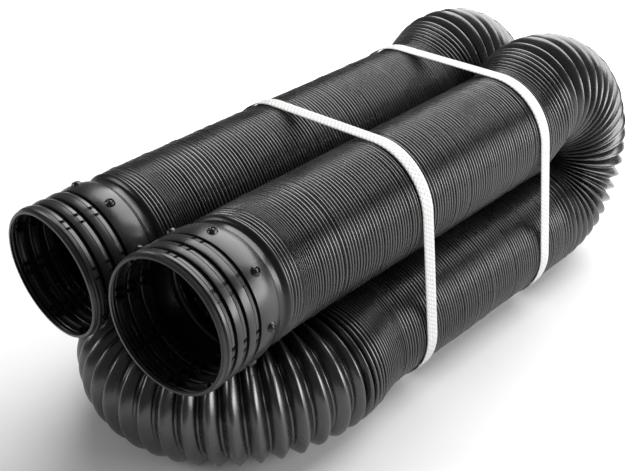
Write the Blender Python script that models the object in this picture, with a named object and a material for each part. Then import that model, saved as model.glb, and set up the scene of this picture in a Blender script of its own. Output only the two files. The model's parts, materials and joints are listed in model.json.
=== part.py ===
"""Collapsible drain hose with a coupler on each end, folded into four runs and held by two straps.

Metres, +Z up. The runs lie along Y, the open couplers face -Y, and the origin is on the floor
under the middle of the bundle. Every stretch of hose is a smooth tube as big as its corrugations.
"""

import math

import bmesh
import bpy
from mathutils import Matrix, Vector

# Hose section
HOSE_RADIUS = 0.054
BORE_RADIUS = 0.046
SIDES = 24
GAP = 0.0003

# Straps: the bundle stands on them. Each has its place along Y at the upper axes' height,
# and how far it leans along Y for each metre of X and of Z
STRAP_WIDTH = 0.0127
STRAP_THICKNESS = 0.0008
STRAP_ARC_STEPS = 8
STRAP_LAP = 0.045
STRAP_PLACES = {"front_strap": (-0.0489, 0.041, 0.063), "rear_strap": (0.1123, 0.024, 0.040)}

# Runs, by their axes
ROW_SPACING = 0.1105
LOWER_Z = STRAP_THICKNESS + GAP + HOSE_RADIUS
UPPER_Z = LOWER_Z + ROW_SPACING
UPPER_RIGHT_X = 0.06695
LOWER_RIGHT_X = 0.07695
LOWER_LEFT_X = -0.06175
UPPER_LEFT_FRONT = Vector((-0.04925, -0.1835, UPPER_Z))
UPPER_LEFT_REAR = Vector((-0.0440, 0.1754, UPPER_Z))

# Free ends: where the coupler's axis leaves the run's, and how it turns outwards and up
RIGHT_PIVOT = Vector((UPPER_RIGHT_X, -0.1726, UPPER_Z))
RIGHT_YAW = math.radians(10.0)
RIGHT_PITCH = math.radians(5.6)
LEFT_YAW = math.radians(3.3)
LEFT_PITCH = math.radians(0.9)

# Front bend, flat on the floor: half an ellipse, eased out of the two lower runs
FRONT_BEND_Y = -0.1400
FRONT_BEND_HALF_WIDTH = 0.08855
FRONT_BEND_DEPTH = 0.0994
FRONT_EASE_RIGHT = 0.060
FRONT_EASE_LEFT = 0.071

# Rear bends, upright: half a circle tangent to the lower run, eased up out of the upper run
REAR_BEND_RADIUS = 0.064
REAR_RIGHT_Y = 0.1714
REAR_LEFT_Y = 0.1754
REAR_EASE = 0.044

LEAN_SHARE = 0.35
ARC_STEPS = 12
EASE_STEPS = 3

# Hose ends, by distance from the coupler's rim
COUPLER_LENGTH = 0.061
CUFF_END = 0.088
PIVOT = 0.107
PULL_LENGTH = 0.0592
RING_LENGTH = 0.0074
SWING_LENGTH = 0.0296
LIFT_LENGTH = 0.0333
PULL_END = CUFF_END + PULL_LENGTH
SWING_RING_END = PULL_END + RING_LENGTH
SWING_END = SWING_RING_END + SWING_LENGTH
LIFT_RING_END = SWING_END + RING_LENGTH
LIFT_END = LIFT_RING_END + LIFT_LENGTH
PULL_STEPS = 5

# Coupler and cuff, turned profiles
COUPLER_RADIUS = 0.0533
COUPLER_BORE = 0.0475
GROOVE_CENTRES = (0.0123, 0.0246, 0.0377)
GROOVE_WIDTH = 0.0060
GROOVE_SLOPE = 0.0012
GROOVE_DEPTH = 0.0030
NECK_RADIUS = 0.0500
NECK_END = 0.072
SHOULDER_SLOPE = 0.004

BLACK = ("hose_black", (0.016, 0.017, 0.018), 0.34)
WHITE = ("strap_white", (0.83, 0.83, 0.82), 0.55)


def ease(t):
    """0 to 1 with a level start and finish."""
    return 0.5 - 0.5 * math.cos(math.pi * t)


def material(name, colour, roughness):
    found = bpy.data.materials.get(name)
    if found:
        return found
    made = bpy.data.materials.new(name)
    made.use_nodes = True
    shader = made.node_tree.nodes["Principled BSDF"]
    shader.inputs["Base Color"].default_value = (*colour, 1.0)
    shader.inputs["Roughness"].default_value = roughness
    shader.inputs["Metallic"].default_value = 0.0
    return made


def add_object(name, bm, finish, origin):
    """Puts a finished bmesh in the scene, with the object's own origin at a chosen point."""
    bmesh.ops.recalc_face_normals(bm, faces=bm.faces)
    bm.transform(Matrix.Translation(-origin))
    mesh = bpy.data.meshes.new(name)
    bm.to_mesh(mesh)
    bm.free()
    mesh.shade_smooth()
    mesh.set_sharp_from_angle(angle=math.radians(40))
    mesh.materials.append(material(*finish))
    made = bpy.data.objects.new(name, mesh)
    made.location = origin
    bpy.context.scene.collection.objects.link(made)


def loft(bm, loops):
    """Skins closed loops of points, one to the next, and the last back to the first."""
    rings = [[bm.verts.new(point) for point in loop] for loop in loops]
    for ring, following in zip(rings, rings[1:] + rings[:1]):
        count = len(ring)
        for i in range(count):
            j = (i + 1) % count
            bm.faces.new((ring[i], ring[j], following[j], following[i]))


def circle(centre, normal, radius, keep):
    """Points of a circle square to normal, counted from the direction nearest to keep."""
    first = (keep - keep.dot(normal) * normal).normalized()
    second = normal.cross(first)
    points = []
    for i in range(SIDES):
        angle = 2 * math.pi * i / SIDES
        points.append(centre + radius * (math.cos(angle) * first + math.sin(angle) * second))
    return points


def tube(name, frames, keep=Vector((0, 0, 1)), outer=HOSE_RADIUS, bore=BORE_RADIUS, origin=None):
    """A pipe through frames of (centre, direction), shortened by half a gap at each end.

    outer is one radius, or one for each frame.
    """
    radii = outer if isinstance(outer, list) else [outer] * len(frames)
    frames = list(frames)
    start, start_way = frames[0]
    finish, finish_way = frames[-1]
    frames[0] = (start + start_way * GAP / 2, start_way)
    frames[-1] = (finish - finish_way * GAP / 2, finish_way)
    outside = [circle(c, n, r, keep) for (c, n), r in zip(frames, radii)]
    inside = [circle(c, n, bore, keep) for c, n in (frames[-1], *frames[-2:0:-1], frames[0])]
    bm = bmesh.new()
    loft(bm, outside + inside)
    add_object(name, bm, BLACK, origin or Vector((0, 0, 0)))


def rear_bend(side, top_x, bottom_x, middle_y):
    """An upright U at the back: a short rise out of the upper run, then half a circle down."""
    centre_z = LOWER_Z + REAR_BEND_RADIUS
    rise = centre_z + REAR_BEND_RADIUS - UPPER_Z
    frames = []
    for i in range(EASE_STEPS):
        t = i / EASE_STEPS
        slope = rise * math.pi / 2 * math.sin(math.pi * t) / REAR_EASE
        lean = LEAN_SHARE * math.atan(slope)
        centre = Vector((top_x, middle_y - REAR_EASE * (1 - t), UPPER_Z + rise * ease(t)))
        frames.append((centre, Vector((0, math.cos(lean), math.sin(lean)))))
    for i in range(ARC_STEPS + 1):
        turn = math.pi * i / ARC_STEPS
        centre = Vector((
            top_x + (bottom_x - top_x) * ease(i / ARC_STEPS),
            middle_y + REAR_BEND_RADIUS * math.sin(turn),
            centre_z + REAR_BEND_RADIUS * math.cos(turn),
        ))
        frames.append((centre, Vector((0, math.cos(turn), -math.sin(turn)))))
    names = [f"rear_{side}_lead", *[f"rear_{side}_bend_{third}" for third in ("top", "middle", "bottom")]]
    split_bend(names, frames, Vector((1, 0, 0)))


def front_bend():
    """The flat U at the front, from the lower right run round to the lower left run."""
    frames = []
    for i in range(EASE_STEPS):
        t = i / EASE_STEPS
        frames.append(front_ease(t, LOWER_RIGHT_X, FRONT_BEND_HALF_WIDTH, FRONT_EASE_RIGHT, -1))
    for i in range(ARC_STEPS + 1):
        turn = math.pi * i / ARC_STEPS
        across = FRONT_BEND_HALF_WIDTH * math.cos(turn)
        along = FRONT_BEND_Y - FRONT_BEND_DEPTH * math.sin(turn)
        way = Vector((
            -FRONT_BEND_HALF_WIDTH * math.sin(turn), -FRONT_BEND_DEPTH * math.cos(turn), 0,
        ))
        frames.append((Vector((across, along, LOWER_Z)), way.normalized()))
    for i in range(EASE_STEPS):
        t = 1 - (i + 1) / EASE_STEPS
        frames.append(front_ease(t, LOWER_LEFT_X, -FRONT_BEND_HALF_WIDTH, FRONT_EASE_LEFT, 1))
    names = [f"front_bend_{third}" for third in ("right", "middle", "left")]
    split_bend(["front_right_lead", *names, "front_left_lead"], frames, Vector((0, 0, 1)))


def front_ease(t, run_x, bend_x, length, heading):
    """A place between a lower run (t = 0) and the front bend (t = 1), heading along Y."""
    slope = (bend_x - run_x) * math.pi / 2 * math.sin(math.pi * t) / length
    lean = LEAN_SHARE * math.atan(slope)
    centre = Vector((run_x + (bend_x - run_x) * ease(t), FRONT_BEND_Y + length * (1 - t), LOWER_Z))
    return centre, Vector((-heading * math.sin(lean), heading * math.cos(lean), 0))


def split_bend(names, frames, keep):
    """Cuts a bend into the eased lead into it, the thirds of its arc, and any eased lead out."""
    cuts = [0, *[EASE_STEPS + third * ARC_STEPS // 3 for third in range(4)]]
    if cuts[-1] < len(frames) - 1:
        cuts.append(len(frames) - 1)
    for name, first, last in zip(names, cuts, cuts[1:]):
        tube(name, frames[first : last + 1], keep)


def straight(name, start, finish, finish_way=None):
    way = (finish - start).normalized()
    tube(name, [(start, way), (finish, finish_way or way)])


def coupler_stations():
    """Distance and outer radius down the coupler: a plain band with three grooves."""
    floor = COUPLER_RADIUS - GROOVE_DEPTH
    stations = [(0.0, COUPLER_RADIUS)]
    for centre in GROOVE_CENTRES:
        edge = GROOVE_WIDTH / 2
        stations += [
            (centre - edge, COUPLER_RADIUS),
            (centre - edge + GROOVE_SLOPE, floor),
            (centre + edge - GROOVE_SLOPE, floor),
            (centre + edge, COUPLER_RADIUS),
        ]
    return stations + [(COUPLER_LENGTH, COUPLER_RADIUS)]


def cuff_stations():
    """The narrow neck behind the coupler, then the wide shoulder where the hose begins."""
    return [
        (COUPLER_LENGTH, NECK_RADIUS),
        (NECK_END, NECK_RADIUS),
        (NECK_END + SHOULDER_SLOPE, HOSE_RADIUS),
        (CUFF_END, HOSE_RADIUS),
    ]


def hose_end(side, pivot, run_way, yaw, pitch, outward):
    """The free end in front of the straps, from the coupler back to the run.

    pivot is where the coupler's axis meets the run's axis; outward is +1 for the right end.
    """
    front_way = Vector((math.tan(yaw), -1, math.tan(pitch))).normalized()

    def place(distance):
        if distance <= CUFF_END:
            return pivot + front_way * (PIVOT - distance), -front_way
        if distance >= PULL_END:
            return pivot + run_way * (distance - PIVOT), run_way
        t = (distance - CUFF_END) / PULL_LENGTH
        near = front_way * (PIVOT - CUFF_END)
        far = run_way * (PULL_END - PIVOT)
        centre = pivot + (1 - t) ** 2 * near + t ** 2 * far
        return centre, (t * far - (1 - t) * near).normalized()

    def stretch(distances):
        return [place(distance) for distance in distances]

    lift_middle = (LIFT_RING_END + LIFT_END) / 2
    swing_middle = (SWING_RING_END + SWING_END) / 2
    lift_axis = place(lift_middle)[0] + Vector((0, 0, HOSE_RADIUS))
    swing_axis = place(swing_middle)[0] + Vector((outward * HOSE_RADIUS, 0, 0))
    rim = place(0.0)[0]

    coupler = coupler_stations()
    cuff = cuff_stations()
    tube(f"{side}_coupler", stretch([d for d, _ in coupler]), outer=[r for _, r in coupler],
         bore=COUPLER_BORE, origin=rim)
    tube(f"{side}_cuff", stretch([d for d, _ in cuff]), outer=[r for _, r in cuff], origin=rim)
    pull = [CUFF_END + PULL_LENGTH * i / PULL_STEPS for i in range(PULL_STEPS + 1)]
    tube(f"{side}_pull_bellows", stretch(pull), origin=swing_axis)
    tube(f"{side}_swing_ring", stretch([PULL_END, SWING_RING_END]), origin=swing_axis)
    tube(f"{side}_swing_bellows", stretch([SWING_RING_END, SWING_END]), origin=lift_axis)
    tube(f"{side}_lift_ring", stretch([SWING_END, LIFT_RING_END]), origin=lift_axis)
    tube(f"{side}_lift_bellows", stretch([LIFT_RING_END, LIFT_END]))
    return place(LIFT_END)[0]


def strap(name, along, skew, lean):
    """A taut band round all four runs, lapped and welded on its left side."""
    run_left = UPPER_LEFT_FRONT.lerp(
        UPPER_LEFT_REAR,
        (along - UPPER_LEFT_FRONT.y) / (UPPER_LEFT_REAR.y - UPPER_LEFT_FRONT.y),
    )
    corners = [
        Vector((LOWER_LEFT_X, 0, LOWER_Z)),
        Vector((run_left.x, 0, UPPER_Z)),
        Vector((UPPER_RIGHT_X, 0, UPPER_Z)),
        Vector((LOWER_RIGHT_X, 0, LOWER_Z)),
    ]
    stations = []
    for k, corner in enumerate(corners):
        arriving = (corner - corners[k - 1]).normalized()
        leaving = (corners[(k + 1) % 4] - corner).normalized()
        turn_from = math.atan2(arriving.x, -arriving.z)
        turn_by = arriving.angle(leaving)
        for i in range(STRAP_ARC_STEPS + 1):
            angle = turn_from - turn_by * i / STRAP_ARC_STEPS
            stations.append((corner, Vector((math.cos(angle), 0, math.sin(angle)))))
    lap = lap_stations(corners)
    bm = bmesh.new()
    loops = []
    inner = HOSE_RADIUS + GAP
    for corner, outwards in stations[: STRAP_ARC_STEPS + 1]:
        loops.append(band_section(corner, outwards, inner, STRAP_THICKNESS, along, skew, lean))
    for corner, outwards, layers in lap:
        doubled = layers * STRAP_THICKNESS
        loops.append(band_section(corner, outwards, inner, doubled, along, skew, lean))
    for corner, outwards in stations[STRAP_ARC_STEPS + 1 :]:
        loops.append(band_section(corner, outwards, inner, STRAP_THICKNESS, along, skew, lean))
    loft(bm, loops)
    add_object(name, bm, WHITE, Vector((0, along, 0)))


def lap_stations(corners):
    """Where the band doubles, half way up the left side."""
    low, high = corners[0], corners[1]
    way = (high - low).normalized()
    outwards = Vector((-way.z, 0, way.x))
    middle = low.lerp(high, 0.5)
    step_length = STRAP_THICKNESS
    places = (
        (-STRAP_LAP / 2 - step_length, 1),
        (-STRAP_LAP / 2, 2),
        (STRAP_LAP / 2, 2),
        (STRAP_LAP / 2 + step_length, 1),
    )
    return [(middle + way * distance, outwards, layers) for distance, layers in places]


def band_section(corner, outwards, inner, thickness, along, skew, lean):
    """The band's four edges at one place, on the strap's leaning plane."""
    section = []
    for reach, side in ((inner, -1), (inner, 1), (inner + thickness, 1), (inner + thickness, -1)):
        point = corner + outwards * reach
        point.y = along + skew * point.x + lean * (point.z - UPPER_Z) + side * STRAP_WIDTH / 2
        section.append(point)
    return section


def build():
    for old in list(bpy.data.objects):
        bpy.data.objects.remove(old)

    right_start = hose_end("right", RIGHT_PIVOT, Vector((0, 1, 0)), RIGHT_YAW, RIGHT_PITCH, 1)
    left_way = (UPPER_LEFT_REAR - UPPER_LEFT_FRONT).normalized()
    left_start = hose_end("left", UPPER_LEFT_FRONT, left_way, LEFT_YAW, LEFT_PITCH, -1)

    straight("upper_right_run", right_start, Vector((UPPER_RIGHT_X, REAR_RIGHT_Y - REAR_EASE, UPPER_Z)))
    rear_bend("right", UPPER_RIGHT_X, LOWER_RIGHT_X, REAR_RIGHT_Y)
    straight(
        "lower_right_run",
        Vector((LOWER_RIGHT_X, REAR_RIGHT_Y, LOWER_Z)),
        Vector((LOWER_RIGHT_X, FRONT_BEND_Y + FRONT_EASE_RIGHT, LOWER_Z)),
    )
    front_bend()
    straight(
        "lower_left_run",
        Vector((LOWER_LEFT_X, FRONT_BEND_Y + FRONT_EASE_LEFT, LOWER_Z)),
        Vector((LOWER_LEFT_X, REAR_LEFT_Y, LOWER_Z)),
    )
    rear_bend("left", UPPER_LEFT_REAR.x, LOWER_LEFT_X, REAR_LEFT_Y)
    straight("upper_left_run", left_start, UPPER_LEFT_REAR - Vector((0, REAR_EASE, 0)), Vector((0, 1, 0)))

    for name, (along, skew, lean) in STRAP_PLACES.items():
        strap(name, along, skew, lean)


build()
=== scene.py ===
"""Looks for a collapsible drain hose: corrugated walls, grooved couplers and packing straps.

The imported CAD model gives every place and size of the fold; this file makes the fine shapes
round it, one operator for each kind of piece, and a small studio to see them in.
"""

import json
import math
import random

import bmesh
import bpy
import numpy as np
from bpy.props import FloatProperty, FloatVectorProperty, IntProperty, PointerProperty
from mathutils import Matrix, Vector


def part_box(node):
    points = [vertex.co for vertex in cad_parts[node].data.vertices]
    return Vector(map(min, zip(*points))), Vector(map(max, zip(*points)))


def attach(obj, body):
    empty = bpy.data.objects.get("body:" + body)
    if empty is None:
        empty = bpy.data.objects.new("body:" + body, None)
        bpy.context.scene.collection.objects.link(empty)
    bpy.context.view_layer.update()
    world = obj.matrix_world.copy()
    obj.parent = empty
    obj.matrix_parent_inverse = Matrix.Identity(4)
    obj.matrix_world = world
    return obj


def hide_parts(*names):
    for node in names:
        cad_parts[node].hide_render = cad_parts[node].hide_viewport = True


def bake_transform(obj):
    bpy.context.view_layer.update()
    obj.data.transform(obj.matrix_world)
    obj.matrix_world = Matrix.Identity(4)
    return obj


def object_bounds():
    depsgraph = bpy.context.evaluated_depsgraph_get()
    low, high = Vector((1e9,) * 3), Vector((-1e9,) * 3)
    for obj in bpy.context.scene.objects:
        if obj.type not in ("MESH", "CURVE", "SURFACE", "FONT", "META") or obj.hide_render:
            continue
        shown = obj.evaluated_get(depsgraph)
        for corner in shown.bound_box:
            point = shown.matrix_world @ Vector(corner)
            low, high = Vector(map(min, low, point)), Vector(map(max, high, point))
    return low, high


bl_info = {
    "name": "Folded Drain Hose",
    "version": (1, 0, 0),
    "blender": (4, 5, 0),
    "location": "View3D > Sidebar > Drain Hose",
    "description": "Corrugated hose, couplers and straps round a packed CAD frame",
    "category": "Object",
}

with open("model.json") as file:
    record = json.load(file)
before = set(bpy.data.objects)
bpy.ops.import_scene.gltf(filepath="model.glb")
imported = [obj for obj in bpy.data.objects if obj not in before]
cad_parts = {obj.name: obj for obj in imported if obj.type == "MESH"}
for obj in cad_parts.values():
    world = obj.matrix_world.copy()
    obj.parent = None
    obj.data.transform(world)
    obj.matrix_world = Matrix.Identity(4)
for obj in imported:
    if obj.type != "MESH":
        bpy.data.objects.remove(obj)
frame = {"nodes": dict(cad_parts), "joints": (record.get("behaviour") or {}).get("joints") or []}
CAD_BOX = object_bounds()

UP = Vector((0, 0, 1))
ACROSS = Vector((1, 0, 0))
BACK = Vector((0, 1, 0))

# Gap between touching meshes, and the length in which the right run eases into the front bend
CLEARANCE = 0.0003
FRONT_EASE_RIGHT = 0.060

# Places read from the frame
JOINTS = {joint["name"]: joint for joint in frame["joints"]}
LOW_RUN, HIGH_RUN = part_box("lower_right_run")
HOSE_RADIUS = (HIGH_RUN.x - LOW_RUN.x) / 2


def middle(node):
    low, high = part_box(node)
    return (low + high) / 2


LOWER_Z = middle("lower_right_run").z
UPPER_Z = middle("upper_right_run").z
REAR_RADIUS = (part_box("rear_right_bend_top")[1].z - LOW_RUN.z) / 2 - HOSE_RADIUS
REAR_Y = {
    "right": HIGH_RUN.y + CLEARANCE / 2,
    "left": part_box("lower_left_run")[1].y + CLEARANCE / 2,
}
REAR_EASE = REAR_Y["right"] - CLEARANCE / 2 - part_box("upper_right_run")[1].y
TOP_X = {
    "right": middle("upper_right_run").x,
    "left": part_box("rear_left_bend_top")[1].x - HOSE_RADIUS,
}
BOTTOM_X = {"right": middle("lower_right_run").x, "left": middle("lower_left_run").x}
FRONT_Y = LOW_RUN.y - CLEARANCE / 2 - FRONT_EASE_RIGHT
FRONT_EASE = {
    "right": FRONT_EASE_RIGHT,
    "left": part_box("lower_left_run")[0].y - CLEARANCE / 2 - FRONT_Y,
}
FRONT_HALF_WIDTH = CAD_BOX[1].x - HOSE_RADIUS
FRONT_DEPTH = FRONT_Y - CAD_BOX[0].y - HOSE_RADIUS
OUTWARD = {"right": 1, "left": -1}

# Free ends, by distance back from the coupler's rim
COUPLER_END = 0.061
CUFF_END = 0.088
PIVOT = 0.107
PULL_END = 0.1472
SWING_RING_END = 0.1546
SWING_END = 0.1842
LIFT_RING_END = 0.1916
LIFT_END = 0.2249

# How much a ring leans into a slanting stretch, as a share of the slant
LEAN_SHARE = 0.35


# ---------------------------------------------------------------- sizes and colours


class HoseSizes(bpy.types.PropertyGroup):
    """Sizes of the corrugated wall."""

    pitch: FloatProperty(
        name="Closed Pitch", description="Length of one ridge where the hose is pushed shut",
        default=0.0030, min=0.002, max=0.01, subtype="DISTANCE", unit="LENGTH",
    )
    depth: FloatProperty(
        name="Ridge Depth", description="Height of a ridge over its valley",
        default=0.009, min=0.003, max=0.012, subtype="DISTANCE", unit="LENGTH",
    )
    wall: FloatProperty(
        name="Wall", description="Thickness of the wall under a valley",
        default=0.001, min=0.0005, max=0.003, subtype="DISTANCE", unit="LENGTH",
    )
    inner_depth: FloatProperty(
        name="Inner Depth", description="Height of the ridges seen inside the hose",
        default=0.0025, min=0.0, max=0.006, subtype="DISTANCE", unit="LENGTH",
    )
    wobble: FloatProperty(
        name="Wobble", description="How far groups of ridges stand off the line",
        default=0.00022, min=0.0, max=0.001, subtype="DISTANCE", unit="LENGTH",
    )
    sides: IntProperty(
        name="Sides", description="Points round each ring",
        default=96, min=24, max=160,
    )


class CouplerSizes(bpy.types.PropertyGroup):
    """Sizes of the moulded coupler."""

    radius: FloatProperty(
        name="Rim Radius", description="Radius at the rim and at the edges of the bands",
        default=0.0532, min=0.04, max=0.06, subtype="DISTANCE", unit="LENGTH",
    )
    crown: FloatProperty(
        name="Band Swell", description="How far a band swells between its grooves",
        default=0.0017, min=0.0, max=0.003, subtype="DISTANCE", unit="LENGTH",
    )
    wall: FloatProperty(
        name="Wall", description="Thickness of the coupler's wall",
        default=0.0013, min=0.001, max=0.004, subtype="DISTANCE", unit="LENGTH",
    )
    groove_depth: FloatProperty(
        name="Groove Depth", description="Depth of the three locking grooves",
        default=0.0021, min=0.001, max=0.004, subtype="DISTANCE", unit="LENGTH",
    )
    neck_radius: FloatProperty(
        name="Neck Radius", description="Radius of the narrow neck behind the bands",
        default=0.0493, min=0.045, max=0.053, subtype="DISTANCE", unit="LENGTH",
    )
    columns: IntProperty(
        name="Lug Columns", description="Columns of lugs and pips round the coupler",
        default=8, min=4, max=12,
    )
    column_start_right: FloatProperty(
        name="First Column Right", description="Angle of the right coupler's first lug column",
        default=math.radians(5), subtype="ANGLE", unit="ROTATION",
    )
    column_start_left: FloatProperty(
        name="First Column Left", description="Angle of the left coupler's first lug column",
        default=math.radians(25), subtype="ANGLE", unit="ROTATION",
    )


class StrapSizes(bpy.types.PropertyGroup):
    """Sizes of the packing straps."""

    width: FloatProperty(
        name="Width", description="Width of a strap",
        default=0.0127, min=0.006, max=0.02, subtype="DISTANCE", unit="LENGTH",
    )
    thickness: FloatProperty(
        name="Thickness", description="Thickness of one layer of strap",
        default=0.0008, min=0.0004, max=0.0015, subtype="DISTANCE", unit="LENGTH",
    )
    lap: FloatProperty(
        name="Lap", description="Length over which the welded ends lie double",
        default=0.045, min=0.02, max=0.08, subtype="DISTANCE", unit="LENGTH",
    )


class HoseFinish(bpy.types.PropertyGroup):
    """Colours and gloss of the mouldings and the straps."""

    black: FloatVectorProperty(
        name="Hose Black", description="Colour of the hose's plastic",
        default=(0.0050, 0.0052, 0.0055), size=3, min=0.0, max=1.0, subtype="COLOR",
    )
    worn: FloatVectorProperty(
        name="Rubbed Black", description="Colour where handling has dulled the ridges",
        default=(0.020, 0.0205, 0.021), size=3, min=0.0, max=1.0, subtype="COLOR",
    )
    hose_roughness: FloatProperty(
        name="Hose Roughness", description="Surface roughness of the hose",
        default=0.25, min=0.0, max=1.0, subtype="FACTOR",
    )
    coupler_roughness: FloatProperty(
        name="Coupler Roughness", description="Surface roughness of the couplers",
        default=0.28, min=0.0, max=1.0, subtype="FACTOR",
    )
    strap: FloatVectorProperty(
        name="Strap White", description="Colour of the straps",
        default=(0.52, 0.52, 0.51), size=3, min=0.0, max=1.0, subtype="COLOR",
    )


class StudioSetup(bpy.types.PropertyGroup):
    """Camera and floor."""

    azimuth: FloatProperty(
        name="Azimuth", description="How far the camera is turned round the bundle",
        default=math.radians(47.7), subtype="ANGLE", unit="ROTATION",
    )
    elevation: FloatProperty(
        name="Elevation", description="How far the camera looks down",
        default=math.radians(32.2), subtype="ANGLE", unit="ROTATION",
    )
    roll: FloatProperty(
        name="Roll", description="Tilt of the camera about its own axis",
        default=math.radians(-4.0), subtype="ANGLE", unit="ROTATION",
    )
    distance: FloatProperty(
        name="Distance", description="Camera to the point it looks at",
        default=0.9856, min=0.3, subtype="DISTANCE", unit="LENGTH",
    )
    target: FloatVectorProperty(
        name="Target", description="The point that the camera looks at",
        default=(-0.05125, -0.0039, 0.0614), size=3, subtype="TRANSLATION", unit="LENGTH",
    )
    lens: FloatProperty(
        name="Focal Length", description="Focal length on a 36 mm sensor",
        default=56.45, min=20.0, max=200.0, unit="CAMERA",
    )
    floor: FloatVectorProperty(
        name="Floor", description="Colour of the floor",
        default=(0.78, 0.78, 0.78), size=3, min=0.0, max=1.0, subtype="COLOR",
    )


# ---------------------------------------------------------------- finishes


def noise_node(tree, scale, detail=3.0, source=None):
    """Noise on Object coordinates, or on another vector socket."""
    coordinates = tree.nodes.new("ShaderNodeTexCoord")
    noise = tree.nodes.new("ShaderNodeTexNoise")
    noise.inputs["Scale"].default_value = scale
    noise.inputs["Detail"].default_value = detail
    tree.links.new(source or coordinates.outputs["Object"], noise.inputs["Vector"])
    return noise.outputs["Fac"]


def ranged(tree, source, low, high, from_low=0.3, from_high=0.7):
    node = tree.nodes.new("ShaderNodeMapRange")
    node.inputs["From Min"].default_value = from_low
    node.inputs["From Max"].default_value = from_high
    node.inputs["To Min"].default_value = low
    node.inputs["To Max"].default_value = high
    tree.links.new(source, node.inputs["Value"])
    return node.outputs["Result"]


def combined(tree, operation, first, second):
    node = tree.nodes.new("ShaderNodeMath")
    node.operation = operation
    for socket, value in zip(node.inputs, (first, second)):
        if isinstance(value, float):
            socket.default_value = value
        else:
            tree.links.new(value, socket)
    return node.outputs["Value"]


def mixed(tree, factor, first, second):
    """A colour between two fixed colours."""
    node = tree.nodes.new("ShaderNodeMix")
    node.data_type = "RGBA"
    node.inputs["A"].default_value = (*first, 1.0)
    node.inputs["B"].default_value = (*second, 1.0)
    tree.links.new(factor, node.inputs["Factor"])
    return node.outputs["Result"]


def bumped(tree, shader, height, distance, strength=1.0):
    node = tree.nodes.new("ShaderNodeBump")
    node.inputs["Distance"].default_value = distance
    node.inputs["Strength"].default_value = strength
    tree.links.new(height, node.inputs["Height"])
    tree.links.new(node.outputs["Normal"], shader.inputs["Normal"])


def new_material(name):
    made = bpy.data.materials.new(name)
    made.use_nodes = True
    return made, made.node_tree, made.node_tree.nodes["Principled BSDF"]


def moulded_black(name, roughness, shine, grain_scale, grain_height):
    """Black polypropylene: uneven gloss, dulled on the crests, with a fine moulded grain."""
    finish = bpy.context.scene.hose_finish
    made, tree, shader = new_material(name)
    crest = tree.nodes.new("ShaderNodeAttribute")
    crest.attribute_name = "crest"
    patches = noise_node(tree, 22.0, 4.0)
    rubbed = combined(tree, "MULTIPLY", ranged(tree, patches, 0.1, 0.9), crest.outputs["Fac"])
    tree.links.new(mixed(tree, rubbed, finish.black, finish.worn), shader.inputs["Base Color"])
    cloudy = ranged(tree, noise_node(tree, 55.0, 5.0), roughness - 0.05, roughness + 0.07)
    dulled = combined(tree, "MULTIPLY", rubbed, 0.05)
    tree.links.new(combined(tree, "ADD", cloudy, dulled), shader.inputs["Roughness"])
    shader.inputs["Specular IOR Level"].default_value = shine
    bumped(tree, shader, noise_node(tree, grain_scale, 3.0), grain_height)
    return made


def embossed_strap(name, loop_length, section_length):
    """White polypropylene band: rows of small pressed diamonds with painted shade in their hollows,
    faint long streaks and grime.
    """
    finish = bpy.context.scene.hose_finish
    made, tree, shader = new_material(name)
    wrap = tree.nodes.new("ShaderNodeUVMap")
    wrap.uv_map = "wrap"
    heights = []
    for slant in (1.0, -1.0):
        mapping = tree.nodes.new("ShaderNodeMapping")
        mapping.inputs["Scale"].default_value = (loop_length, slant * section_length, 1.0)
        tree.links.new(wrap.outputs["UV"], mapping.inputs["Vector"])
        wave = tree.nodes.new("ShaderNodeTexWave")
        wave.wave_type = "BANDS"
        wave.bands_direction = "DIAGONAL"
        wave.inputs["Scale"].default_value = 150.0
        tree.links.new(mapping.outputs["Vector"], wave.inputs["Vector"])
        heights.append(wave.outputs["Fac"])
    diamonds = combined(tree, "MULTIPLY", *heights)
    bumped(tree, shader, diamonds, 0.00035)
    grime = ranged(tree, noise_node(tree, 45.0, 5.0), 0.0, 0.12)
    # shade is the grime plus painted shade: the colour darkens where the pressed diamonds sink
    shade = combined(tree, "ADD", grime, ranged(tree, diamonds, 0.10, 0.0, 0.0, 0.6))
    darker = tuple(0.55 * channel for channel in finish.strap)
    tree.links.new(mixed(tree, shade, finish.strap, darker), shader.inputs["Base Color"])
    rough = ranged(tree, noise_node(tree, 300.0, 2.0), 0.42, 0.58)
    tree.links.new(rough, shader.inputs["Roughness"])
    shader.inputs["Subsurface Weight"].default_value = 0.08
    shader.inputs["Subsurface Radius"].default_value = (0.002, 0.002, 0.002)
    return made


def floor_finish(name):
    made, tree, shader = new_material(name)
    shade = bpy.context.scene.studio_setup.floor
    shader.inputs["Base Color"].default_value = (*shade, 1.0)
    rough = ranged(tree, noise_node(tree, 8.0, 2.0), 0.75, 0.85)
    tree.links.new(rough, shader.inputs["Roughness"])
    shader.inputs["Specular IOR Level"].default_value = 0.2
    return made


def shared(name, make, *values):
    return bpy.data.materials.get(name) or make(name, *values)


def hose_material():
    roughness = bpy.context.scene.hose_finish.hose_roughness
    return shared("hose_plastic", moulded_black, roughness, 1.0, 900.0, 0.00003)


def coupler_material():
    roughness = bpy.context.scene.hose_finish.coupler_roughness
    return shared("coupler_plastic", moulded_black, roughness, 0.5, 600.0, 0.00004)


# ---------------------------------------------------------------- meshes


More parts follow.
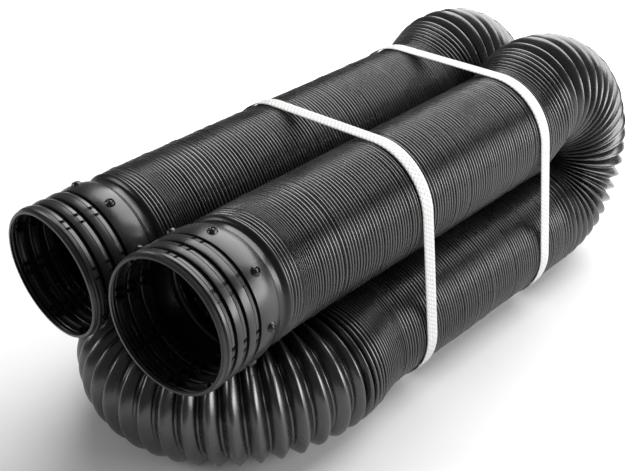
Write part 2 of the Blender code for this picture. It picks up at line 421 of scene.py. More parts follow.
def wrapped(name, points, crests, material):
    """A closed skin: a grid wrapped so that each ring closes and the last ring meets the first.

    points is an array of rings of places, crests of how far up a ridge each place is.
    """
    rings, sides = points.shape[:2]
    places = points.tolist()
    heights = crests.tolist()
    bm = bmesh.new()
    bm.loops.layers.uv.new("wrap")
    crest = bm.verts.layers.float.new("crest")
    bmesh.ops.create_grid(bm, x_segments=rings, y_segments=sides, size=1.0, calc_uvs=True)
    seam = []
    for vert in bm.verts:
        ring = round((vert.co.x + 1.0) / 2.0 * rings)
        side = round((vert.co.y + 1.0) / 2.0 * sides)
        if ring in (0, rings) or side in (0, sides):
            seam.append(vert)
        vert.co = places[ring % rings][side % sides]
        vert[crest] = heights[ring % rings][side % sides]
    bmesh.ops.remove_doubles(bm, verts=seam, dist=1e-7)
    bmesh.ops.recalc_face_normals(bm, faces=bm.faces)
    return finished(name, bm, material)


def finished(name, bm, material, sharp=math.radians(180)):
    mesh = bpy.data.meshes.new(name)
    bm.to_mesh(mesh)
    bm.free()
    mesh.shade_smooth()
    mesh.set_sharp_from_angle(angle=sharp)
    mesh.materials.append(material)
    made = bpy.data.objects.new(name, mesh)
    bpy.context.scene.collection.objects.link(made)
    return made


def ring_points(stations, angles, radii, keep):
    """Places round each (centre, direction) station; angles count from the way nearest to keep."""
    centres = np.array([centre for centre, _ in stations])
    firsts = []
    seconds = []
    for _, way in stations:
        first = (keep - keep.dot(way) * way).normalized()
        firsts.append(first)
        seconds.append(way.cross(first))
    firsts = np.array(firsts)[:, None, :]
    seconds = np.array(seconds)[:, None, :]
    cosines = np.cos(angles)[None, :, None]
    sines = np.sin(angles)[None, :, None]
    return centres[:, None, :] + radii[:, :, None] * (cosines * firsts + sines * seconds)


# A ridge's outline: (share of its length, share of its height), from valley to valley. The two
# longer ones have the same number of points, so that one can turn into the other.
CLOSED_RIDGE = (
    (0.12, 0.0), (0.23, 0.93), (0.38, 0.99), (0.62, 0.99), (0.77, 0.93), (0.88, 0.0),
)
OPEN_RIDGE = (
    (0.055, 0.0), (0.075, 0.12), (0.16, 0.36), (0.32, 0.70), (0.46, 0.975),
    (0.54, 0.975), (0.68, 0.70), (0.84, 0.36), (0.925, 0.12), (0.945, 0.0),
)
CLOSED_LONG_RIDGE = (
    (0.12, 0.0), (0.14, 0.12), (0.18, 0.54), (0.24, 0.93), (0.39, 0.99),
    (0.61, 0.99), (0.76, 0.93), (0.82, 0.54), (0.86, 0.12), (0.88, 0.0),
)

# The inner skin has one shallow wave for each ridge
INNER_RIDGE = ((0.25, 0.0), (0.75, 1.0))

# A ridge starts to open at OPEN_FROM closed pitches and is open after OPEN_OVER more. It has
# then lost this share of its height.
OPEN_FROM = 1.2
OPEN_OVER = 0.9
FLATTENING = 0.17

# The crests stay this far inside the nominal radius, which leaves room for the groups' steps
CREST_INSET = 0.0006
GROUP_STEPS = (-0.0005, 0.0004, 0.0004)
UNEVENNESS = 0.0001

# The share of its group's offset that a ridge takes up, and how many at each end stay in line
FOLLOWING = 0.65
RIDGES_IN_LINE = 2


def ridge_outline(width, full):
    """The outline of one ridge: closed where it is as short as the closed pitch, open where long."""
    if not full:
        return CLOSED_RIDGE
    pitch = bpy.context.scene.hose_sizes.pitch
    opened = min(1.0, max(0.0, (width / pitch - OPEN_FROM) / OPEN_OVER))
    outline = []
    for (shut_share, shut), (wide_share, wide) in zip(CLOSED_LONG_RIDGE, OPEN_RIDGE):
        height = shut + (wide - shut) * opened
        share = shut_share + (wide_share - shut_share) * opened
        outline.append((share, 1 - (1 - height) * (1 - FLATTENING * opened)))
    return outline


def even_ridges(start, finish, pitch, draw, jitter=0.09):
    """Ridge widths, slightly uneven, that fill a length of path."""
    count = max(1, round((finish - start) / pitch))
    widths = [1.0 + draw.uniform(-jitter, jitter) for _ in range(count)]
    scale = (finish - start) / sum(widths)
    return [width * scale for width in widths]


def corrugated(name, path, start, widths, keep, seed, full=False):
    """A stretch of hose: ridges of these widths along path, with an inner skin closing it.

    Groups of ridges stand a little off the line, and each group starts with a step.
    """
    sizes = bpy.context.scene.hose_sizes
    draw = random.Random(seed)
    outer = []
    inner = []
    place = start
    group_left = 0
    offset = target = (0.0, 0.0)
    for number, width in enumerate(widths):
        proud = draw.uniform(-UNEVENNESS, UNEVENNESS)
        if group_left == 0:
            group_left = draw.randint(6, 13)
            reach = sizes.wobble
            target = (draw.uniform(-reach, reach), draw.uniform(-reach, reach))
            proud += draw.choice(GROUP_STEPS)
        group_left -= 1
        offset = tuple((1 - FOLLOWING) * a + FOLLOWING * b for a, b in zip(offset, target))
        near_end = min(number, len(widths) - 1 - number) < RIDGES_IN_LINE
        shift = (0.0, 0.0) if near_end else offset
        for share, height in ridge_outline(width, full):
            outer.append((place + share * width, height, proud * height, shift))
        for share, height in INNER_RIDGE:
            inner.append((place + share * width, height))
        place += width
    crest_radius = HOSE_RADIUS - CREST_INSET
    floor_radius = crest_radius - sizes.depth
    stations = []
    radii = []
    crests = []
    ends = [(start, 0.0, 0.0, (0.0, 0.0)), (place, 0.0, 0.0, (0.0, 0.0))]
    for distance, height, proud, shift in [ends[0], *outer, ends[1]]:
        centre, way = path(distance)
        first = (keep - keep.dot(way) * way).normalized()
        centre = centre + shift[0] * first + shift[1] * way.cross(first)
        stations.append((centre, way))
        radii.append(floor_radius + height * sizes.depth + proud)
        crests.append(height ** 3)
    inside = [(start, 0.0), *inner, (place, 0.0)]
    for distance, height in reversed(inside):
        stations.append(path(distance))
        radii.append(floor_radius - sizes.wall + height * sizes.inner_depth)
        crests.append(0.0)
    angles = np.arange(sizes.sides) * 2 * math.pi / sizes.sides
    around = np.ones(sizes.sides)
    points = ring_points(stations, angles, np.outer(radii, around), keep)
    return wrapped(name, points, np.outer(crests, around), hose_material())


# ---------------------------------------------------------------- the hose's route


def ease(t):
    """0 to 1 with a level start and finish."""
    return 0.5 - 0.5 * math.cos(math.pi * t)


def straight_path(start, finish, start_way, finish_way):
    length = (finish - start).length

    def path(distance):
        t = distance / length
        return start.lerp(finish, t), start_way.lerp(finish_way, t).normalized()

    return path, length


def rear_path(side):
    """Along an upright bend at the back; 0 is where the half circle starts."""
    centre_z = LOWER_Z + REAR_RADIUS
    rise = centre_z + REAR_RADIUS - UPPER_Z
    top_x = TOP_X[side]
    bottom_x = BOTTOM_X[side]
    arc = math.pi * REAR_RADIUS

    def path(distance):
        if distance < 0:
            t = max(0.0, 1 + distance / REAR_EASE)
            lean = LEAN_SHARE * math.atan(rise * math.pi / 2 * math.sin(math.pi * t) / REAR_EASE)
            centre = Vector((top_x, REAR_Y[side] + distance, UPPER_Z + rise * ease(t)))
            return centre, Vector((0, math.cos(lean), math.sin(lean)))
        if distance > arc:
            return Vector((bottom_x, REAR_Y[side] - (distance - arc), LOWER_Z)), -BACK
        turn = distance / REAR_RADIUS
        centre = Vector((
            top_x + (bottom_x - top_x) * ease(turn / math.pi),
            REAR_Y[side] + REAR_RADIUS * math.sin(turn),
            centre_z + REAR_RADIUS * math.cos(turn),
        ))
        return centre, Vector((0, math.cos(turn), -math.sin(turn)))

    return path, arc


def front_path():
    """Round the flat bend at the front; 0 is where the half ellipse starts, on the right."""
    mean_radius = (FRONT_HALF_WIDTH + FRONT_DEPTH) / 2
    arc = math.pi * mean_radius

    def eased(side, beyond):
        length = FRONT_EASE[side]
        heading = -OUTWARD[side]
        bend_x = OUTWARD[side] * FRONT_HALF_WIDTH
        t = max(0.0, 1 - beyond / length)
        shift = bend_x - BOTTOM_X[side]
        lean = LEAN_SHARE * math.atan(shift * math.pi / 2 * math.sin(math.pi * t) / length)
        centre = Vector((BOTTOM_X[side] + shift * ease(t), FRONT_Y + beyond, LOWER_Z))
        return centre, Vector((-heading * math.sin(lean), heading * math.cos(lean), 0))

    def path(distance):
        if distance < 0:
            return eased("right", -distance)
        if distance > arc:
            return eased("left", distance - arc)
        turn = distance / mean_radius
        centre = Vector((
            FRONT_HALF_WIDTH * math.cos(turn), FRONT_Y - FRONT_DEPTH * math.sin(turn), LOWER_Z,
        ))
        way = Vector((-FRONT_HALF_WIDTH * math.sin(turn), -FRONT_DEPTH * math.cos(turn), 0))
        return centre, way.normalized()

    return path, arc


def free_end(side):
    """Along a free end, by distance back from the coupler's rim."""
    outer_edge = Vector(JOINTS[f"{side}_swing"]["pos_m"])
    front_way = Vector(JOINTS[f"{side}_pull"]["axis"]).normalized()
    on_axis = outer_edge - OUTWARD[side] * HOSE_RADIUS * ACROSS
    rear = Vector((TOP_X[side], REAR_Y[side], UPPER_Z))
    run_way = (rear - on_axis).normalized()
    swing_middle = (SWING_RING_END + SWING_END) / 2
    pivot = on_axis - run_way * (swing_middle - PIVOT)

    def path(distance):
        if distance <= CUFF_END:
            return pivot + front_way * (PIVOT - distance), -front_way
        if distance >= PULL_END:
            return pivot + run_way * (distance - PIVOT), run_way
        t = (distance - CUFF_END) / (PULL_END - CUFF_END)
        near = front_way * (PIVOT - CUFF_END)
        far = run_way * (PULL_END - PIVOT)
        centre = pivot + (1 - t) ** 2 * near + t ** 2 * far
        return centre, (t * far - (1 - t) * near).normalized()

    return path


# Ridge widths that lead from the closed pitch to a bend's open ridges
OPENING = (0.0032, 0.0036, 0.0043, 0.0058, 0.0090)

# Open ridges in each bend: where they start and end along its curve, and how many there are
REAR_OPENS = -0.010
REAR_RIDGES = 22
FRONT_INSET = 0.0066
FRONT_RIDGES = 23


def make_runs():
    pitch = bpy.context.scene.hose_sizes.pitch
    for side in ("right", "left"):
        start, way = free_end(side)(LIFT_END)
        finish = Vector((TOP_X[side], REAR_Y[side] - REAR_EASE, UPPER_Z))
        path, length = straight_path(start, finish, way, BACK)
        widths = even_ridges(0.0, length, pitch, random.Random(11 + OUTWARD[side]))
        run = corrugated(f"upper_{side}_hose", path, 0.0, widths, UP, 21 + OUTWARD[side])
        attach(run, "bundle")
        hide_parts(f"upper_{side}_run")

        rear_closing = sum(OPENING) - OPENING[0]
        start = Vector((BOTTOM_X[side], REAR_Y[side] - rear_closing, LOWER_Z))
        finish = Vector((BOTTOM_X[side], FRONT_Y + FRONT_EASE[side], LOWER_Z))
        path, length = straight_path(start, finish, -BACK, -BACK)
        widths = even_ridges(0.0, length, pitch, random.Random(31 + OUTWARD[side]))
        run = corrugated(f"lower_{side}_hose", path, 0.0, widths, UP, 41 + OUTWARD[side])
        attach(run, "bundle")
        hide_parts(f"lower_{side}_run")


def make_rear_bends():
    pitch = bpy.context.scene.hose_sizes.pitch
    for side in ("right", "left"):
        path, arc = rear_path(side)
        draw = random.Random(51 + OUTWARD[side])
        widths = even_ridges(-REAR_EASE, REAR_OPENS, pitch, draw)
        widths += even_ridges(REAR_OPENS, arc, (arc - REAR_OPENS) / REAR_RIDGES, draw, 0.07)
        widths += reversed(OPENING[1:])
        bend = corrugated(
            f"rear_{side}_bend_hose", path, -REAR_EASE, widths, ACROSS, 61 + OUTWARD[side],
            full=True,
        )
        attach(bend, "bundle")
        thirds = [f"rear_{side}_bend_{third}" for third in ("top", "middle", "bottom")]
        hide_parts(f"rear_{side}_lead", *thirds)


def make_front_bend():
    pitch = bpy.context.scene.hose_sizes.pitch
    path, arc = front_path()
    draw = random.Random(71)
    lead = sum(OPENING) - FRONT_INSET
    widths = even_ridges(-FRONT_EASE["right"], -lead, pitch, draw)
    widths += OPENING
    open_pitch = (arc - 2 * FRONT_INSET) / FRONT_RIDGES
    widths += even_ridges(FRONT_INSET, arc - FRONT_INSET, open_pitch, draw, 0.05)
    widths += reversed(OPENING)
    widths += even_ridges(arc + lead, arc + FRONT_EASE["left"], pitch, draw)
    bend = corrugated(
        "front_bend_hose", path, -FRONT_EASE["right"], widths, UP, 81, full=True,
    )
    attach(bend, "bundle")
    thirds = [f"front_bend_{third}" for third in ("right", "middle", "left")]
    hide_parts("front_right_lead", *thirds, "front_left_lead")


def make_free_ends():
    """Three sections of closed hose on each side, one at each joint."""
    pitch = bpy.context.scene.hose_sizes.pitch
    for side in ("right", "left"):
        path = free_end(side)
        sections = (
            ("lift", SWING_END, LIFT_END, "bundle", f"{side}_lift_ring",
             LIFT_END, LIFT_RING_END, (f"{side}_lift_bellows", f"{side}_lift_ring")),
            ("swing", PULL_END, SWING_END, f"{side}_lift_ring", f"{side}_swing_ring",
             SWING_END, SWING_RING_END, (f"{side}_swing_bellows", f"{side}_swing_ring")),
            ("pull", CUFF_END, PULL_END, f"{side}_swing_ring", f"{side}_outlet",
             PULL_END, CUFF_END, (f"{side}_pull_bellows",)),
        )
        for number, section in enumerate(sections):
            word, near, far, held, moving, fixed_at, free_at, nodes = section
            draw = random.Random(91 + 10 * number + OUTWARD[side])
            widths = even_ridges(near, far, pitch, draw)
            hose = corrugated(
                f"{side}_{word}_hose", path, near, widths, UP, 131 + 10 * number + OUTWARD[side],
            )
            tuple(path(fixed_at)[0])
            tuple(path(free_at)[0])
            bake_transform(hose)
            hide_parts(*nodes)


# ---------------------------------------------------------------- couplers

# Distances back from the rim
LIP_VALLEY = 0.0034
GROOVES = (0.0123, 0.0246, 0.0377)
PIP_PLACE = 0.0489
BAND_END = 0.0596
SHOULDER_END = 0.0755

# Half a groove's width at the skin and at its floor, and how far in front of it its line lies
GROOVE_TOP = 0.0016
GROOVE_FLOOR = 0.0010
LINE_PLACE = 0.0052
LINE_SLOPE = 0.0004

# Depths of the lip's valley and of the lines, and height of the seat over the neck
LIP_DEPTH = 0.0010
LINE_DEPTH = 0.0003
SEAT_HEIGHT = 0.0022

# Rows of the skin that follow its swell, from the rim or from a groove
LIP_ROWS = (0.0, 0.0003, 0.0012, 0.0024, LIP_VALLEY, 0.0044)
ROWS_IN_FRONT = (0.0038, 0.0025)
ROW_BEHIND = 0.0026
REAR_ROWS = (0.0440, 0.0470, 0.0500, 0.0530, 0.0560, 0.0580, BAND_END, 0.0600)

# Half the gap between coupler and cuff, and the share of the wall that rounds the rim
HALF_SEAM = 0.0001
RIM_ROUNDING = 0.6

# Places closer than this count as the same
SAME_PLACE = 1e-6

# Each column has a small block in front of every groove, between a wide and a narrow notch.
# The notches' edges are lengths round the coupler from the column's middle.
WIDE_NOTCH = (-0.0050, -0.0027)
NARROW_NOTCH = (0.0027, 0.0044)
NOTCH_REACH = 0.0056
NOTCH_SLOPE = 0.0003
NOTCH_EXTRA_DEPTH = 0.0004

# Points round the plain stretch between two columns' notches
PLAIN_STEPS = 17

# A pip from its middle to its edge: (distance from its axis, height over the band)
PIP_OUTLINE = (
    (0.0, -0.0008), (0.0041, -0.0008), (0.0041, 0.0), (0.0038, 0.0004), (0.0034, 0.0013),
    (0.0030, 0.0018), (0.0027, 0.0020), (0.0024, 0.0017), (0.0021, 0.0009), (0.0018, 0.0009),
    (0.0015, 0.0015), (0.0010, 0.0020), (0.0, 0.0022),
)


def column_offsets(sizes):
    """Lengths round one column: close together at its notches, even to the next column."""
    marks = []
    for low, high in (WIDE_NOTCH, NARROW_NOTCH):
        marks += [low - NOTCH_SLOPE, low, high, high + NOTCH_SLOPE]
    marks.insert(4, 0.0)
    rest = 2 * math.pi * sizes.radius / sizes.columns - (marks[-1] - marks[0])
    steps = range(1, PLAIN_STEPS + 1)
    return marks + [marks[-1] + rest * step / (PLAIN_STEPS + 1) for step in steps]


def column_turns(sizes, side):
    """The angle of each column round one coupler."""
    start = sizes.column_start_right if side == "right" else sizes.column_start_left
    return [start + column * 2 * math.pi / sizes.columns for column in range(sizes.columns)]


def column_angles(sizes, side):
    angles = []
    for turn in column_turns(sizes, side):
        angles += [turn + offset / sizes.radius for offset in column_offsets(sizes)]
    return np.array(angles)


def band_radius(distance, sizes):
    """Radius over the coupler's bands: each swells between its grooves like a barrel."""
    edges = (0.0, *GROOVES, BAND_END)
    for low, high in zip(edges, edges[1:]):
        if distance <= high:
            share = (distance - low) / (high - low)
            return sizes.radius + sizes.crown * (1 - (2 * share - 1) ** 2)
    return sizes.radius


def coupler_outside(sizes):
    """Distances down the coupler's outside and the radius at each angle."""
    distances = list(LIP_ROWS)
    for groove in GROOVES:
        distances += [groove - NOTCH_REACH - NOTCH_SLOPE, groove - NOTCH_REACH]
        distances += [groove - LINE_PLACE, groove - LINE_PLACE + LINE_SLOPE]
        distances += [groove - place for place in (*ROWS_IN_FRONT, GROOVE_TOP, GROOVE_FLOOR)]
        distances += [groove + place for place in (GROOVE_FLOOR, GROOVE_TOP, ROW_BEHIND)]
    distances += REAR_ROWS
    distances.append(COUPLER_END - HALF_SEAM)
    offsets = np.array(column_offsets(sizes) * sizes.columns)
    notched = np.zeros(len(offsets), bool)
    for low, high in (WIDE_NOTCH, NARROW_NOTCH):
        notched |= (offsets > low - SAME_PLACE) & (offsets < high + SAME_PLACE)
    rows = []
    for distance in distances:
        row = np.full(len(offsets), band_radius(distance, sizes))
        if distance == 0.0:
            row -= sizes.wall * RIM_ROUNDING
        if distance == LIP_VALLEY:
            row -= LIP_DEPTH
        if distance > BAND_END:
            row[:] = sizes.neck_radius + SEAT_HEIGHT
        floor = sizes.radius - sizes.groove_depth
        for groove in GROOVES:
            if abs(distance - groove) < GROOVE_FLOOR + SAME_PLACE:
                row[:] = floor
            if abs(distance - groove + LINE_PLACE) < SAME_PLACE:
                row -= LINE_DEPTH
            if groove - NOTCH_REACH - SAME_PLACE < distance < groove - GROOVE_FLOOR:
                row[notched] = floor - NOTCH_EXTRA_DEPTH
        rows.append(row)
    return distances, rows


def add_pips(side, path, sizes):
    """A round pip in each column, proud of the rear band and set into the coupler's skin."""
    pips = bmesh.new()
    for angle in column_turns(sizes, side):
        bm = bmesh.new()
        verts = [bm.verts.new((x, 0.0, z)) for x, z in PIP_OUTLINE]
        edges = [bm.edges.new(pair) for pair in zip(verts, verts[1:])]
        bmesh.ops.spin(
            bm, geom=verts + edges, cent=(0, 0, 0), axis=(0, 0, 1), dvec=(0, 0, 0),
            angle=2 * math.pi, steps=24, use_merge=True, use_duplicate=False,
        )
        bmesh.ops.remove_doubles(bm, verts=bm.verts, dist=SAME_PLACE)
        centre, way = path(PIP_PLACE)
        first = (UP - UP.dot(way) * way).normalized()
        outwards = math.cos(angle) * first + math.sin(angle) * way.cross(first)
        turn = outwards.to_track_quat("Z", "Y").to_matrix().to_4x4()
        place = Matrix.Translation(centre + outwards * band_radius(PIP_PLACE, sizes)) @ turn
        bmesh.ops.transform(bm, matrix=place, verts=bm.verts)
        bmesh.ops.recalc_face_normals(bm, faces=bm.faces)
        one = bpy.data.meshes.new("pip")
        bm.to_mesh(one)
        bm.free()
        pips.from_mesh(one)
        bpy.data.meshes.remove(one)
    return finished(f"{side}_coupler_pips", pips, coupler_material(), math.radians(50))


def make_couplers():
    sizes = bpy.context.scene.coupler_sizes
    for side in ("right", "left"):
        path = free_end(side)
        angles = column_angles(sizes, side)
        distances, rows = coupler_outside(sizes)
        inner = [row - sizes.wall for row in rows]
        distances += distances[::-1]
        radii = np.array(rows + inner[::-1])
        stations = [path(distance) for distance in distances]
        points = ring_points(stations, angles, radii, UP)
        crests = np.clip((radii - sizes.radius) / sizes.crown, 0.0, 1.0)
        shell = wrapped(f"{side}_coupler_shell", points, crests, coupler_material())
        shell.data.set_sharp_from_angle(angle=math.radians(35))
        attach(shell, f"{side}_outlet")
        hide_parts(f"{side}_coupler")
        pips = add_pips(side, path, sizes)
        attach(pips, f"{side}_outlet")


# The shoulder lies this far inside the hose's radius, and handling has dulled it this far down
SHOULDER_INSET = 0.0004
RUBBED = 0.001


def make_cuffs():
    """The narrow neck, the shoulder and the first few ridges, which move with the coupler."""
    sizes = bpy.context.scene.coupler_sizes
    hose = bpy.context.scene.hose_sizes
    neck = sizes.neck_radius
    shoulder = HOSE_RADIUS - SHOULDER_INSET
    outside = (
        (COUPLER_END + HALF_SEAM, neck + 0.0024), (0.0620, neck + SEAT_HEIGHT),
        (0.0628, neck + 0.0012), (0.0636, neck + 0.0003), (0.0650, neck),
        (0.0690, neck + 0.0001), (0.0704, neck + 0.0006), (0.0713, neck + 0.0018),
        (0.0722, shoulder - 0.0010), (0.0732, shoulder - 0.0002), (0.0742, shoulder),
        (0.0749, shoulder - 0.0004), (0.0753, shoulder - 0.0022),
    )
    inside = (
        (COUPLER_END + HALF_SEAM, neck - sizes.wall), (0.0695, neck - sizes.wall),
        (0.0718, shoulder - 0.0040), (0.0735, shoulder - 0.0018), (0.0748, shoulder - 0.0030),
    )
    profile = outside + inside[::-1]
    angles = np.arange(hose.sides) * 2 * math.pi / hose.sides
    around = np.ones(hose.sides)
    for side in ("right", "left"):
        path = free_end(side)
        stations = [path(distance) for distance, _ in profile]
        radii = np.outer([radius for _, radius in profile], around)
        points = ring_points(stations, angles, radii, UP)
        crests = np.clip((radii - shoulder + RUBBED) / RUBBED, 0.0, 1.0)
        cuff = wrapped(f"{side}_cuff_shell", points, crests, coupler_material())
        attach(cuff, f"{side}_outlet")
        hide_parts(f"{side}_cuff")
        widths = even_ridges(SHOULDER_END, CUFF_END, hose.pitch, random.Random(7))
        ridges = corrugated(f"{side}_cuff_ridges", path, SHOULDER_END, widths, UP, 8)
        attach(ridges, f"{side}_outlet")


# ---------------------------------------------------------------- straps

CORNER_STEPS = 90
SPAN_STEP = 0.0008

# Fine serration of a strap's edges, and how much the emboss takes off its thickness
NIBBLE = 0.00012
NIBBLE_STATIONS = 3
EMBOSS_LOSS = 0.0001

# A strap's edges are rounded over this share of its thickness, and it swells to its middle
EDGE_SHARE = 0.35
SIDE_SWELL = 0.00005
SWELL = 0.00008

# The weld, to either side of the lap's middle, is pressed thinner than two layers
WELD_SHARE = 0.2
WELD_LAYERS = 1.8


def strap_stations(corners, lap):
    """Places round the loop: (point on the hose axes' polygon, outward way, layers)."""
    stations = []
    for number, corner in enumerate(corners):
        before = corners[number - 1]
        after = corners[(number + 1) % 4]
        arriving = (corner - before).normalized()
        leaving = (after - corner).normalized()
        turn_from = math.atan2(arriving.x, -arriving.z)
        turn_by = arriving.angle(leaving)
        for step in range(CORNER_STEPS + 1):
            angle = turn_from - turn_by * step / CORNER_STEPS
            stations.append((corner, Vector((math.cos(angle), 0, math.sin(angle))), 1.0))
        outwards = Vector((-leaving.z, 0, leaving.x))
        length = (after - corner).length
        steps = round(length / SPAN_STEP)
        for step in range(1, steps):
            distance = length * step / steps
            layers = 1.0
            if number == 0:
                from_middle = abs(distance - length / 2)
                if from_middle < lap / 2:
                    layers = 2.0 if from_middle > lap * WELD_SHARE else WELD_LAYERS
            stations.append((corner.lerp(after, step / steps), outwards, layers))
    return stations


def make_straps():
    sizes = bpy.context.scene.strap_sizes
    half = sizes.width / 2
    edge = sizes.thickness * EDGE_SHARE
    for strap in ("front_strap", "rear_strap"):
        cad = np.array([vert.co for vert in frame["nodes"][strap].data.vertices])
        plane = np.column_stack([np.ones(len(cad)), cad[:, 0], cad[:, 2] - UPPER_Z])
        along, skew, lean = map(float, np.linalg.lstsq(plane, cad[:, 1], rcond=None)[0])
        start = free_end("left")(LIFT_END)[0]
        finish = Vector((TOP_X["left"], REAR_Y["left"], UPPER_Z))
        top_left = start.lerp(finish, (along - start.y) / (finish.y - start.y))
        corners = (
            Vector((BOTTOM_X["left"], 0, LOWER_Z)), Vector((top_left.x, 0, UPPER_Z)),
            Vector((TOP_X["right"], 0, UPPER_Z)), Vector((BOTTOM_X["right"], 0, LOWER_Z)),
        )
        base = HOSE_RADIUS + CLEARANCE
        rows = []
        for number, (corner, outwards, layers) in enumerate(strap_stations(corners, sizes.lap)):
            top = sizes.thickness * layers - EMBOSS_LOSS
            rim = half - NIBBLE * (1 + math.cos(2 * math.pi * number / NIBBLE_STATIONS))
            section = (
                (0.0, -rim + edge), (edge, -rim), (top - edge, -rim), (top, -rim + edge),
                (top + SIDE_SWELL, -half / 2), (top + SWELL, 0.0), (top + SIDE_SWELL, half / 2),
                (top, rim - edge), (top - edge, rim), (edge, rim), (0.0, rim - edge),
            )
            row = []
            for reach, side in section:
                point = corner + outwards * (base + reach)
                point.y = along + skew * point.x + lean * (point.z - UPPER_Z) + side
                row.append(point)
            rows.append(row)
        points = np.array(rows)
        crown_line = points[:, 5]
        steps = zip(crown_line, crown_line[1:])
        loop_length = sum((Vector(a) - Vector(b)).length for a, b in steps)
        material = shared(
            f"{strap}_emboss", embossed_strap, loop_length, 2 * (sizes.width + sizes.thickness),
        )
        band = wrapped(f"{strap}_band", points, np.zeros(points.shape[:2]), material)
        band.data.set_sharp_from_angle(angle=math.radians(60))
        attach(band, "bundle")
        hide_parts(strap)


# ---------------------------------------------------------------- studio


def area_light(name, place, target, width, height, power):
    lamp = bpy.data.lights.new(name, "AREA")
    lamp.shape = "RECTANGLE"
    lamp.size = width
    lamp.size_y = height
    lamp.energy = power
    made = bpy.data.objects.new(name, lamp)
    made.location = place
    made.rotation_mode = "QUATERNION"
    made.rotation_quaternion = (Vector(target) - Vector(place)).to_track_quat("-Z", "Y")
    bpy.context.scene.collection.objects.link(made)


def make_camera():
    setup = bpy.context.scene.studio_setup
    az, el, roll = setup.azimuth, setup.elevation, setup.roll
    back = Vector((math.sin(az) * math.cos(el), -math.cos(az) * math.cos(el), math.sin(el)))
    right = Vector((math.cos(az), math.sin(az), 0))
    up = back.cross(right)
    turned_right = math.cos(roll) * right + math.sin(roll) * up
    turned_up = -math.sin(roll) * right + math.cos(roll) * up
    matrix = Matrix((turned_right, turned_up, back)).transposed().to_4x4()
    matrix.translation = Vector(setup.target) + back * setup.distance
    lens = bpy.data.cameras.new("studio_camera")
    lens.sensor_width = 36.0
    lens.lens = setup.lens
    lens.clip_start = 0.01
    lens.clip_end = 50.0
    camera = bpy.data.objects.new("studio_camera", lens)
    camera.matrix_world = matrix
    bpy.context.scene.collection.objects.link(camera)
    bpy.context.scene.camera = camera


def make_floor():
    bm = bmesh.new()
    bmesh.ops.create_grid(bm, x_segments=8, y_segments=8, size=6.0)
    floor = finished("studio_floor", bm, floor_finish("floor_paint"))


def make_lights():
    world = bpy.data.worlds.new("studio_world")
    world.use_nodes = True
    sky = world.node_tree.nodes["Background"]
    sky.inputs["Color"].default_value = (1.0, 1.0, 1.0, 1.0)
    sky.inputs["Strength"].default_value = 0.15
    bpy.context.scene.world = world
    bpy.context.scene.view_settings.view_transform = "Standard"
    area_light("top_softbox", (-0.18, 0.95, 1.30), (0.0, 0.0, 0.15), 2.2, 1.5, 62.0)
    area_light("side_softbox", (1.35, 0.80, 0.45), (0.0, 0.0, 0.1), 1.5, 0.7, 30.0)
    area_light("front_card", (-0.6, -0.95, 0.55), (0.0, -0.2, 0.1), 0.4, 0.3, 3.0)


# ---------------------------------------------------------------- operators


class DRAIN_HOSE_OT_runs(bpy.types.Operator):
    """Make the four straight runs of closed hose"""

    bl_idname = "drain_hose.runs"
    bl_label = "Straight Runs"

    def execute(self, context):
        make_runs()
        return {"FINISHED"}


class DRAIN_HOSE_OT_rear_bends(bpy.types.Operator):
    """Make the two upright bends at the back"""

    bl_idname = "drain_hose.rear_bends"
    bl_label = "Rear Bends"

    def execute(self, context):
        make_rear_bends()
        return {"FINISHED"}


class DRAIN_HOSE_OT_front_bend(bpy.types.Operator):
    """Make the flat bend at the front"""

    bl_idname = "drain_hose.front_bend"
    bl_label = "Front Bend"

    def execute(self, context):
        make_front_bend()
        return {"FINISHED"}


class DRAIN_HOSE_OT_free_ends(bpy.types.Operator):
    """Make the sections of hose that lift, swing and pull out"""

    bl_idname = "drain_hose.free_ends"
    bl_label = "Free Ends"

    def execute(self, context):
        make_free_ends()
        return {"FINISHED"}


class DRAIN_HOSE_OT_couplers(bpy.types.Operator):
    """Make the two grooved couplers with their lugs and pips"""

    bl_idname = "drain_hose.couplers"
    bl_label = "Couplers"

    def execute(self, context):
        make_couplers()
        return {"FINISHED"}


class DRAIN_HOSE_OT_cuffs(bpy.types.Operator):
    """Make the necks and shoulders behind the couplers"""

    bl_idname = "drain_hose.cuffs"
    bl_label = "Cuffs"

    def execute(self, context):
        make_cuffs()
        return {"FINISHED"}


class DRAIN_HOSE_OT_straps(bpy.types.Operator):
    """Make the two welded packing straps"""

    bl_idname = "drain_hose.straps"
    bl_label = "Straps"

    def execute(self, context):
        make_straps()
        return {"FINISHED"}


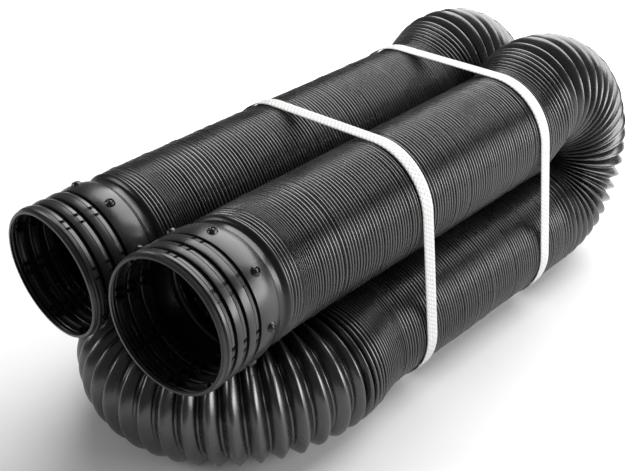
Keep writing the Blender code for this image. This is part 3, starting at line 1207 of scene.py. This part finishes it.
class DRAIN_HOSE_OT_stage(bpy.types.Operator):
    """Make the camera, the floor and the studio lights"""

    bl_idname = "drain_hose.stage"
    bl_label = "Stage"

    def execute(self, context):
        make_camera()
        make_floor()
        make_lights()
        return {"FINISHED"}


OPERATORS = (
    DRAIN_HOSE_OT_stage,
    DRAIN_HOSE_OT_runs,
    DRAIN_HOSE_OT_rear_bends,
    DRAIN_HOSE_OT_front_bend,
    DRAIN_HOSE_OT_free_ends,
    DRAIN_HOSE_OT_couplers,
    DRAIN_HOSE_OT_cuffs,
    DRAIN_HOSE_OT_straps,
)

GROUPS = {
    "hose_sizes": HoseSizes,
    "coupler_sizes": CouplerSizes,
    "strap_sizes": StrapSizes,
    "hose_finish": HoseFinish,
    "studio_setup": StudioSetup,
}


class DRAIN_HOSE_PT_panel(bpy.types.Panel):
    """Sizes, colours and the pieces to make from them"""

    bl_idname = "DRAIN_HOSE_PT_panel"
    bl_label = "Drain Hose"
    bl_space_type = "VIEW_3D"
    bl_region_type = "UI"
    bl_category = "Drain Hose"

    def draw(self, context):
        layout = self.layout
        for operator in OPERATORS:
            layout.operator(operator.bl_idname)
        for group in GROUPS:
            box = layout.box()
            settings = getattr(context.scene, group)
            for setting in settings.bl_rna.properties.keys():
                if setting not in ("rna_type", "name"):
                    box.prop(settings, setting)


def register():
    for cls in (*GROUPS.values(), *OPERATORS, DRAIN_HOSE_PT_panel):
        bpy.utils.register_class(cls)
    for name, group in GROUPS.items():
        setattr(bpy.types.Scene, name, PointerProperty(type=group))


def unregister():
    for name in GROUPS:
        delattr(bpy.types.Scene, name)
    for cls in reversed((*GROUPS.values(), *OPERATORS, DRAIN_HOSE_PT_panel)):
        bpy.utils.unregister_class(cls)


def main():
    register()
    bpy.ops.drain_hose.stage()
    bpy.ops.drain_hose.runs()
    bpy.ops.drain_hose.rear_bends()
    bpy.ops.drain_hose.front_bend()
    bpy.ops.drain_hose.free_ends()
    bpy.ops.drain_hose.couplers()
    bpy.ops.drain_hose.cuffs()
    bpy.ops.drain_hose.straps()


if __name__ == "__main__":
    main()
